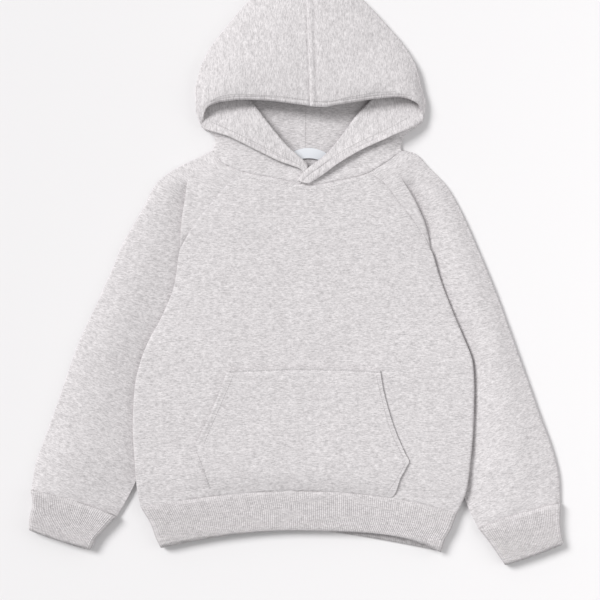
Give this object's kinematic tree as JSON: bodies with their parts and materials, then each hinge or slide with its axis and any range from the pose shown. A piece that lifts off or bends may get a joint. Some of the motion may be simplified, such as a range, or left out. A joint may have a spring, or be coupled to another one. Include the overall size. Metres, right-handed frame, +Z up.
{
  "type": "toddler hoodie",
  "caption": "Child's pullover hoodie in heather sweatshirt jersey, laid flat, with raglan sleeves, front pocket, rib cuffs and waistband.",
  "frame": {"origin": "on the surface that the hoodie lies on, under the middle of its box", "axes": "+Z up off the surface, +Y towards the hood, +X to the right as the hoodie is seen from above"},
  "size_m": [0.5694, 0.6356, 0.0263],
  "materials": {
    "jersey": "grey heather sweatshirt jersey, brushed inside, matte",
    "rib": "grey heather rib knit, matte",
    "label": "plain white woven tape"
  },
  "bodies": {
    "root": {"body_front": "jersey", "body_back": "jersey", "sleeve_left": "jersey", "sleeve_right": "jersey", "hood_left": "jersey", "hood_right": "jersey", "pocket": "jersey", "waistband": "rib", "cuff_left": "rib", "cuff_right": "rib", "neck_label": "label"}
  },
  "joints": []
}
